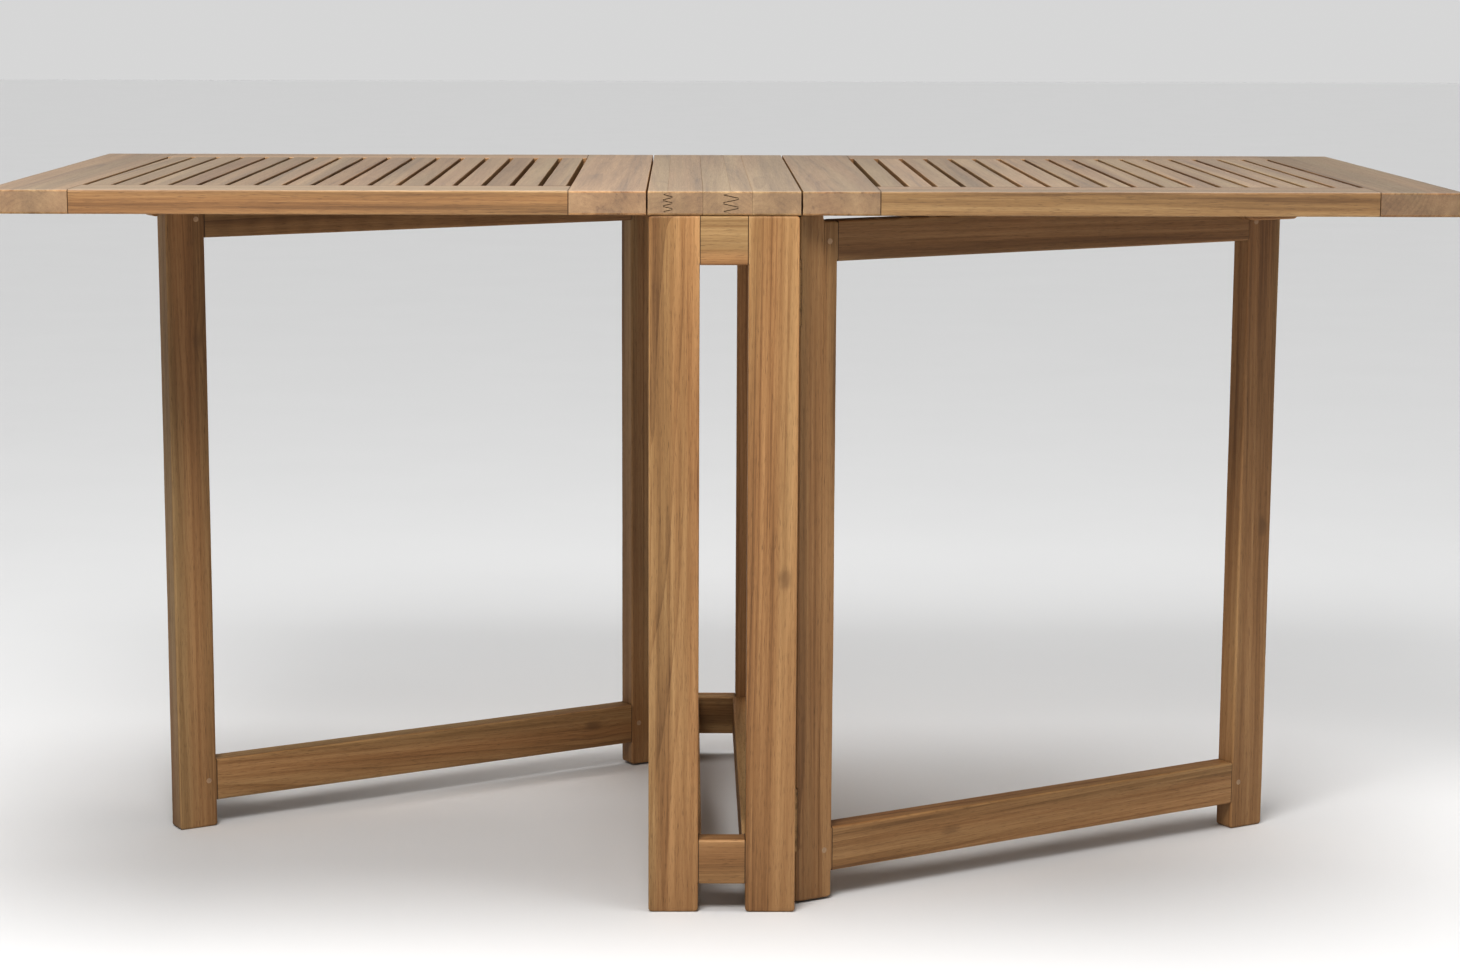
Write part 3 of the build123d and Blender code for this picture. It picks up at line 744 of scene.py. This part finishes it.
def frameRails():
    # The rails between the posts at each end, and the lower side rails. Each is remade from post
    # to post, without its tenons.
    frontLeft = corners("front_left_post")
    backLeft = corners("back_left_post")
    for number, end in enumerate(("front", "back")):
        left = corners(f"{end}_left_post")
        right = corners(f"{end}_right_post")
        for level in ("top", "bottom"):
            node = f"{end}_{level}_rail"
            low, high = corners(node)
            low[:2] = left[1][0], left[0][1]
            high[:2] = right[0][0], left[1][1]
            board = plank(
                spanOf(low, high, onEdgeX),
                onEdgeX,
                origin,
                allRound,
                (None, None),
                seed=seeds["endRails"] + number * 2 + (level == "top"),
                look=frameLook.get(node),
            )
            name = f"{end}{level.capitalize()}Rail"
            makePiece(name, [board], "centre_frame", [node], teakFrame)
    for number, side in enumerate(("left", "right")):
        node = f"{side}_lower_side_rail"
        low, high = corners(node)
        low[1] = frontLeft[1][1]
        high[1] = backLeft[0][1]
        board = plank(
            spanOf(low, high, onEdgeY),
            onEdgeY,
            origin,
            allRound,
            (None, None),
            seed=seeds["sideRails"] + number,
        )
        name = f"{side}LowerSideRail"
        makePiece(name, [board], "centre_frame", [node], teakFrame)


framePosts()
frameRails()
print("centre frame made")


staveLook = {
    "fingers": (3, 0, 2, 0),  # how many glued fingers each joint has, from the left
    "margin": 0.0035,  # straight stretch below and above the fingers
    "flank": 0.42,  # where a finger's flank ends and its valley ends, in pitches
    "valley": 0.08,
    "glue": 0.0001,  # half the thickness of a glue line
    "slack": 0.0003,  # the same on a finger's flanks
    "chamfer": 0.0002,
    "flats": 7,  # points on a stave's top and on its bottom
    "spacing": 0.02,
}


def jointLine(x, reach, fingers, low, high, inward):
    # One side of a stave from its lower edge to its upper: a zigzag of fingers between two short
    # straight stretches, or a plain line, with a tiny chamfer at each end. Inward is the
    # direction of the stave's own wood.
    chamfer = staveLook["chamfer"]
    edge = x + inward * staveLook["glue"]
    line = [(edge + inward * chamfer, low), (edge, low + chamfer)]
    if fingers:
        margin = staveLook["margin"]
        pitch = (high - low - 2 * margin) / fingers
        near = pitch * staveLook["valley"] - inward * staveLook["slack"]
        far = pitch * staveLook["flank"] - inward * staveLook["slack"]
        for index in range(fingers):
            base = low + margin + index * pitch
            line.append((edge - reach / 2, base + near))
            line.append((edge + reach / 2, base + far))
            line.append((edge + reach / 2, base + pitch - far))
            line.append((edge - reach / 2, base + pitch - near))
    line += [(edge, high - chamfer), (edge + inward * chamfer, high)]
    return np.array(line)


def hingeLine(x, low, high, inward):
    # the rounded long edge at a hinge line, two quarter circles
    soft = sawing["softArris"]
    turn = np.linspace(np.pi / 2, 0, 6)
    lower = np.stack((x + inward * soft * (1 - np.cos(turn)), low + soft * (1 - np.sin(turn))), -1)
    return np.concatenate((lower, lower[::-1] * (1, -1) + (0, low + high)))


def stave(left, right, span, seed):
    # A stave as a grid: its outline, both side lines joined by flat stretches, carried along
    # its length. Near each end the top and bottom are clamped to a quarter circle.
    draws = np.random.default_rng(seed)
    stops = np.linspace(0, 1, staveLook["flats"] + 2)[1:-1, None]
    bottom = left[0] * (1 - stops) + right[0] * stops
    top = right[-1] * (1 - stops) + left[-1] * stops
    outline = np.concatenate((right, top, left[::-1], bottom))
    low, high = outline[:, 1].min(), outline[:, 1].max()
    start, stop = span
    arris = sawing["arris"]
    reach = arris * (1 - np.cos(np.linspace(0, np.pi / 2, sawing["endSteps"])))
    plain = arris + sawing["endGap"]
    middle = np.arange(start + plain, stop - plain, staveLook["spacing"])
    places = np.concatenate((start + reach, middle, stop - reach[::-1]))
    near = np.clip(arris - np.minimum(places - start, stop - places), 0, None)
    inset = arris - np.sqrt(arris ** 2 - near ** 2)
    around = outline[:, 0] * sawing["acrossDrift"]
    sink = sawing["skim"] + sawing["hollow"] * drift(places[:, None] + around[None, :], draws)
    through = np.clip(outline[None, :, 1], low + inset[:, None] + sink, high - inset[:, None] - sink)
    across = np.repeat(outline[None, :, 0], len(places), axis=0)
    alongPlace = np.repeat(places[:, None], len(outline), axis=1)
    points = np.stack((across, alongPlace, through), axis=-1).reshape(-1, 3)
    ringCount, perRing = across.shape

    aboutHeart = points[:, (1, 0, 2)] - (0.0, outline[:, 0].mean(), (low + high) / 2)
    grain, tone = timber(aboutHeart, staveChance, draws)
    masks = np.zeros((ringCount, perRing, 3))
    masks[[0, -1], :, 1] = 1.0  # both ends are cut across the grain

    quads, caps = skin(ringCount, perRing, mirrored=True)
    return {
        "points": points,
        "quads": quads,
        "caps": caps,
        "grain": grain,
        "tone": tone,
        "knot": np.zeros_like(points) + noKnot,
        "wear": masks.reshape(-1, 3),
    }


def centreBoard():
    # five staves; a joint's place and its fingers' reach come from its two neighbours' boxes
    count = len(staveLook["fingers"]) + 1
    boxes = [corners(f"centre_board_stave_{number}") for number in range(1, count + 1)]
    low, high = boxes[0][0][2], boxes[0][1][2]
    span = (boxes[0][0][1], boxes[0][1][1])
    lefts = [hingeLine(boxes[0][0][0], low, high, 1)]
    rights = []
    for fingers, before, after in zip(staveLook["fingers"], boxes, boxes[1:]):
        x = (before[1][0] + after[0][0]) / 2
        reach = before[1][0] - after[0][0]
        rights.append(jointLine(x, reach, fingers, low, high, -1))
        lefts.append(jointLine(x, reach, fingers, low, high, 1))
    rights.append(hingeLine(boxes[-1][1][0], low, high, -1))
    for number, (left, right) in enumerate(zip(lefts, rights), 1):
        board = stave(left, right, span, seeds["staves"] + number)
        node = f"centre_board_stave_{number}"
        makePiece(f"centreBoardStave{number}", [board], "centre_frame", [node], teakTop)


centreBoard()
print("centre board made")


slats = {"count": 17, "width": 0.0243}
leafLook = {
    "left_leaf_front_rail": (1.04, 0.28),  # lightness and redness
    "left_leaf_outer_stile": (0.96, 0.40),
    "right_leaf_front_rail": (0.97, 0.45),
    "right_leaf_outer_stile": (0.83, 0.45),
    "leftSlats": 0.90,  # painted shade: the left leaf's slats darker against the right one's, as if farther from the light
    "rightSlats": 1.02,
}


def leafStiles(side, window):
    # The inner and the outer stile run the leaf's whole depth. The side towards the window is
    # softly rounded, and flush where a rail meets it. Across runs along -X, so that side is the
    # minus side on a right leaf's inner stile.
    arris = sawing["arris"]
    soft = sawing["softArris"]
    flush = sawing["flush"]
    for number, part in enumerate(("inner_stile", "outer_stile")):
        node = f"{side}_leaf_{part}"
        low, high = corners(node)
        isInner = part == "inner_stile"
        windowSide = minusSide if isInner == (side == "right") else plusSide
        edge = soft if isInner else arris
        outline = flush if isInner else sawing["corner"]
        plus = flush if windowSide == plusSide else outline
        minus = flush if windowSide == minusSide else outline
        joints = (
            (windowSide, low[1] - sawing["fade"], window[0] + sawing["overlap"], flush),
            (windowSide, window[1] - sawing["overlap"], high[1] + sawing["fade"], flush),
        )
        board = plank(
            spanOf(low, high, lengthwise),
            lengthwise,
            origin,
            tuple(soft if index in windowSide else edge for index in range(4)),
            ((plus, minus, arris), (plus, minus, arris)),
            joints,
            seed=seeds[f"{side}Leaf"] + number,
            look=leafLook.get(node),
        )
        name = f"{side}Leaf" + ("InnerStile" if isInner else "OuterStile")
        makePiece(name, [board], f"{side}_leaf", [node], teakTop)


def leafRails(side):
    # the two rails between the stiles, softly rounded towards the window
    arris = sawing["arris"]
    soft = sawing["softArris"]
    innerLow, innerHigh = corners(f"{side}_leaf_inner_stile")
    outerLow, outerHigh = corners(f"{side}_leaf_outer_stile")
    for number, end in enumerate(("front", "back")):
        node = f"{side}_leaf_{end}_rail"
        low, high = corners(node)
        low[0] = min(innerHigh[0], outerHigh[0])
        high[0] = max(innerLow[0], outerLow[0])
        board = plank(
            spanOf(low, high, crosswise),
            crosswise,
            origin,
            (soft, arris, arris, soft) if end == "front" else (arris, soft, soft, arris),
            (None, None),
            seed=seeds[f"{side}Leaf"] + seeds["rails"] + number,
            look=leafLook.get(node),
        )
        name = f"{side}Leaf{end.capitalize()}Rail"
        makePiece(name, [board], f"{side}_leaf", [node], teakTop)


def leafSlats(side, window):
    # slats at even distances, from rail to rail, all in one piece
    node = f"{side}_leaf_slats"
    slatLow, slatHigh = corners(node)
    half = slats["width"] / 2
    boards = []
    centres = np.linspace(slatLow[0] + half, slatHigh[0] - half, slats["count"])
    for number, centre in enumerate(centres):
        low = np.array((centre - half, window[0], slatLow[2]))
        high = np.array((centre + half, window[1], slatHigh[2]))
        board = plank(
            spanOf(low, high, lengthwise),
            lengthwise,
            origin,
            (sawing["softArris"],) * 4,
            (None, None),
            seed=seeds[f"{side}Leaf"] + seeds["slats"] + number,
            stops=sawing["slatStops"],
        )
        # painted shade: all of a leaf's slats made lighter or darker together, darker on the left leaf
        board["tone"][:, 0] *= leafLook[f"{side}Slats"]
        boards.append(board)
    makePiece(f"{side}LeafSlats", boards, f"{side}_leaf", [node], teakTop)


for side in ("right", "left"):
    # the window is the opening between the rails, from front to back
    window = (corners(f"{side}_leaf_front_rail")[1][1], corners(f"{side}_leaf_back_rail")[0][1])
    leafStiles(side, window)
    leafRails(side)
    leafSlats(side, window)
print("leaves made")


gateKnots = {  # along, across, strength
    "right_gate_leg": (-0.012, 0.01, 0.6),
    "right_gate_bottom_rail": (-0.12, 0.0, 0.4),
    "left_gate_leg": (0.2, -0.012, 0.4),
    "left_gate_bottom_rail": (-0.22, 0.004, 0.7),
}
gateLook = {
    "step": 0.029,  # width of the part of a hinge stile that reaches up to the leaf
    "hinge_stile": (0.84, 0.45),  # lightness and redness of each piece; the lightness is painted shade from the leaf above, darkest on the top rail
    "leg": (0.79, 0.55),
    "top_rail": (0.68, 0.55),
    "bottom_rail": (0.87, 0.55),
}


def stileBoards(span, axes, base, joints, low, details):
    # A hinge stile has a step at its top, so it is two boards side by side with one grain: the
    # first is full height, and the second stops level with the top rail.
    (foot, top), (near, far), through = span
    step = near + gateLook["step"]
    heart = [(start + stop) / 2 for start, stop in span]
    corner = sawing["corner"]
    arris = sawing["arris"]
    flush = sawing["flush"]
    bottoms = ((flush, corner, arris), (corner, flush, arris))
    first = plank(
        ((foot, top), (near, step), through),
        axes,
        base,
        (arris,) * 4,
        (bottoms[0], (corner, corner, arris)),
        [(plusSide, foot - sawing["fade"], low + sawing["fade"], flush)],
        hingeStretches(2),
        heart=heart,
        **details,
    )
    second = plank(
        ((foot, low), (step, far), through),
        axes,
        base,
        (arris, flush, flush, arris),
        (bottoms[1], bottoms[1]),
        joints,
        heart=heart,
        **details,
    )
    return [first, second]


def gateFrame(side):
    # The four pieces of one gate, on its own axes: out along it, and behind its face. Seen from
    # above its leg is a rounded rectangle turned by the gate's angle, so the middle of the
    # leg's box gives that angle, and the box's size gives the leg's width.
    body = f"{side}_gate"
    facing = 1 if side == "right" else -1
    joint = next(one for one in frame["joints"] if one["child"] == body)
    pivot = np.array(joint["pos_m"]) * (1.0, 1.0, 0.0)
    postLow, postHigh = corners("front_left_post")
    thick = postHigh[1] - postLow[1]
    arris = sawing["arris"]
    names = ("hinge_stile", "leg", "top_rail", "bottom_rail")
    boxes = {part: corners(f"{body}_{part}") for part in names}
    middles = {part: ((low + high) / 2 - pivot) * facing for part, (low, high) in boxes.items()}
    reach = math.hypot(*middles["leg"][:2])
    angle = math.atan2(middles["leg"][1], middles["leg"][0]) - math.asin(thick / 2 / reach)
    out = np.array((math.cos(angle), math.sin(angle), 0.0)) * facing
    behind = np.array((-math.sin(angle), math.cos(angle), 0.0)) * facing
    boxWidth = boxes["leg"][1][0] - boxes["leg"][0][0]
    flatWidth = (boxWidth - 2 * arris - (thick - 2 * arris) * math.sin(angle)) / math.cos(angle)
    width = flatWidth + 2 * arris
    spots = {part: middles[part] @ out * facing for part in ("hinge_stile", "leg")}
    rails = [(boxes[part][0][2], boxes[part][1][2]) for part in ("top_rail", "bottom_rail")]
    seed = seeds[f"{side}Gate"]
    standing = (alongZ, out, behind)
    for number, part in enumerate(("hinge_stile", "leg")):
        low, high = boxes[part]
        span = ((low[2], high[2]), (spots[part] - width / 2, spots[part] + width / 2), (0.0, thick))
        inner = plusSide if part == "hinge_stile" else minusSide
        joints = [(inner, bottom, top, sawing["flush"]) for bottom, top in rails]
        details = {
            "seed": seed + number,
            "knotAt": gateKnots.get(f"{body}_{part}"),
            # the look carries painted shade: gate boards darker under the leaf
            "look": gateLook[part],
        }
        if part == "hinge_stile":
            boards = stileBoards(span, standing, pivot, joints, rails[0][1], details)
        else:
            boards = [plank(span, standing, pivot, allRound, (roundEnd, roundEnd), joints, **details)]
        for board in boards:
            shadeTowardsFloor(board, gateFootShade)
        name = f"{side}Gate" + ("HingeStile" if part == "hinge_stile" else "Leg")
        makePiece(name, boards, body, [f"{body}_{part}"], teakFrame)
    lying = (out, alongZ, -behind)
    start = spots["hinge_stile"] + width / 2
    stop = spots["leg"] - width / 2
    for number, part in enumerate(("top_rail", "bottom_rail")):
        span = ((start, stop), rails[number], (-thick, 0.0))
        board = plank(
            span,
            lying,
            pivot,
            allRound,
            (None, None),
            seed=seed + seeds["rails"] + number,
            knotAt=gateKnots.get(f"{body}_{part}"),
            look=gateLook[part],
        )
        name = f"{side}Gate" + ("TopRail" if part == "top_rail" else "BottomRail")
        makePiece(name, [board], body, [f"{body}_{part}"], teakFrame)
    return angle


for side in ("right", "left"):
    gateAngle = gateFrame(side)  # the same for both
print("gates made, open at", round(math.degrees(gateAngle), 2), "degrees")


def dress(node, finish):
    # a piece that stays as the CAD made it gets its finish
    nodes[node].data.materials.clear()
    nodes[node].data.materials.append(finish)


# Boards that stay, with their screw holes: the turn of their grain, their place in the tree, and
# their lightness, redness and strength of dark veins.
quarter = math.pi / 2
keptBoards = {
    "right_upper_side_rail": (quarter, (3.1, 0.031, 0.052), (1.0, 0.5, 0.7)),
    "left_upper_side_rail": (quarter, (7.7, 0.044, -0.038), (0.95, 0.4, 0.8)),
    "right_leaf_stop_block": (gateAngle, (1.3, 0.035, 0.02), (0.96, 0.5, 0.8)),
    "left_leaf_stop_block": (gateAngle, (5.9, 0.028, 0.04), (1.0, 0.6, 0.6)),
}
pegDetails = (quarter + gateAngle, (2.2, 0.02, 0.03), (1.0, 0.3, 0.4))
for node, details in keptBoards.items():
    name = "teak" + node.title().replace("_", "")
    dress(node, teakFinish(name, finishes["teakFrame"], cadSource, details))
for side in ("right", "left"):
    name = f"teakPegs{side.title()}"
    dress(f"{side}_gate_pegs", teakFinish(name, finishes["teakPegs"], cadSource, pegDetails))
for node in nodes:
    if "hinge_plates" in node or "fixed_plates" in node or "hinge_pins" in node:
        dress(node, agedBrass)
    elif "screws" in node:
        dress(node, stainless)
print("CAD pieces dressed")


studio = {
    "wallLight": 0.13,
    "horizonLight": 0.55,  # walls are brighter where they meet the floor
    "horizonBand": (0.10, 0.22),
    "floorTone": 0.72,
    "floorMottle": (3.0, 0.02),  # cycles per metre, and how much
    "floorRoughness": 0.9,
    "floorSize": 60.0,
    "gamma": 0.78,
    "exposure": 0.42,
}

# Far lamps light everything evenly: where each stands as seen from the table, its strength and
# its spread. Near lamps fall off towards the floor.
farLamps = {
    "overhead": {"place": (0.1, 0.1, 1.0), "strength": 1.75, "spread": 40.0},
    "front": {"place": (-0.2, -1.0, 0.9), "strength": 0.2, "spread": 30.0},
}
nearLamps = {
    "key": {"place": (-0.6, -2.0, 2.5), "aim": (0.0, 0.0, 0.6), "size": (1.4, 0.9), "power": 51.0},
    "side": {"place": (2.6, -1.9, 1.9), "aim": (0.3, 0.0, 0.5), "size": (1.0, 1.0), "power": 7.0},
}

camera = {
    "place": (-0.0397, -3.5247, 0.9487),
    "yaw": -0.0031,  # radians, all three
    "pitch": -0.1666,
    "roll": 0.0026,
    "lens": 77.71,  # millimetres, like the sensor
    "sensor": 36.0,
    "shift": (0.0247, 0.0226),
}


def addLamp(name, kind, place, aim):
    # a lamp at a place, turned so that it shines at its aim
    data = bpy.data.lights.new(name, kind)
    lamp = bpy.data.objects.new(name, data)
    bpy.context.scene.collection.objects.link(lamp)
    lamp.location = place
    lamp.rotation_euler = (Vector(place) - Vector(aim)).to_track_quat("Z", "Y").to_euler()
    return data


def addLamps():
    # the far lamps are suns, the near ones are rectangles
    for name, look in farLamps.items():
        data = addLamp(name, "SUN", look["place"], (0.0, 0.0, 0.0))
        data.energy = look["strength"]
        data.angle = math.radians(look["spread"])
    for name, look in nearLamps.items():
        data = addLamp(name, "AREA", look["place"], look["aim"])
        data.shape = "RECTANGLE"
        data.size, data.size_y = look["size"]
        data.energy = look["power"]


def addWorld():
    # pale walls all round, brighter in a smooth band about the horizon
    world = Recipe("studioWalls", bpy.data.worlds.new("studioWalls"))
    height = world.maths("ABSOLUTE", world.parts(world.add("ShaderNodeTexCoord"))[2])
    low, high = studio["horizonBand"]
    level = world.step(height, low, high, studio["horizonLight"], studio["wallLight"])
    colour = world.add("ShaderNodeCombineXYZ", {}, {0: level, 1: level, 2: level})
    sockets = {"Color": colour, "Strength": 1.0}
    wall = world.add("ShaderNodeBackground", {}, sockets)
    bpy.context.scene.world = world.finish(wall, "ShaderNodeOutputWorld")


def addFloor():
    # a flat square, four points at plus and minus half its size
    half = studio["floorSize"] / 2
    points = [(-half, -half, 0), (half, -half, 0), (half, half, 0), (-half, half, 0)]
    mesh = bpy.data.meshes.new("floor")
    mesh.from_pydata(points, [], [(0, 1, 2, 3)])
    mat = Recipe("floorPaint")
    tone = studio["floorTone"]
    cycles, depth = studio["floorMottle"]
    place = mat.add("ShaderNodeTexCoord", out=3)
    mottle = (mat.noise(place, (cycles,) * 3, 3.0) - 0.5) * depth + tone
    colour = mat.add("ShaderNodeCombineXYZ", {}, {0: mottle, 1: mottle, 2: mottle})
    sockets = {"Base Color": colour, "Roughness": studio["floorRoughness"]}
    mesh.materials.append(mat.finish(mat.add("ShaderNodeBsdfPrincipled", {}, sockets)))
    floor = bpy.data.objects.new("floor", mesh)
    bpy.context.scene.collection.objects.link(floor)


def addCamera():
    # level and facing +Y at first, then rolled, pitched and yawed
    data = bpy.data.cameras.new("camera")
    data.sensor_width = camera["sensor"]
    data.lens = camera["lens"]
    data.shift_x, data.shift_y = camera["shift"]
    view = bpy.data.objects.new("camera", data)
    bpy.context.scene.collection.objects.link(view)
    turn = Matrix.Rotation(camera["yaw"], 4, "Z")
    turn = turn @ Matrix.Rotation(math.pi / 2 + camera["pitch"], 4, "X")
    turn = turn @ Matrix.Rotation(camera["roll"], 4, "Z")
    view.matrix_world = Matrix.Translation(camera["place"]) @ turn
    bpy.context.scene.camera = view


addWorld()
addFloor()
addCamera()
addLamps()
grading = bpy.context.scene.view_settings
grading.view_transform = "Standard"
grading.gamma = studio["gamma"]
grading.exposure = studio["exposure"]
print("studio ready")
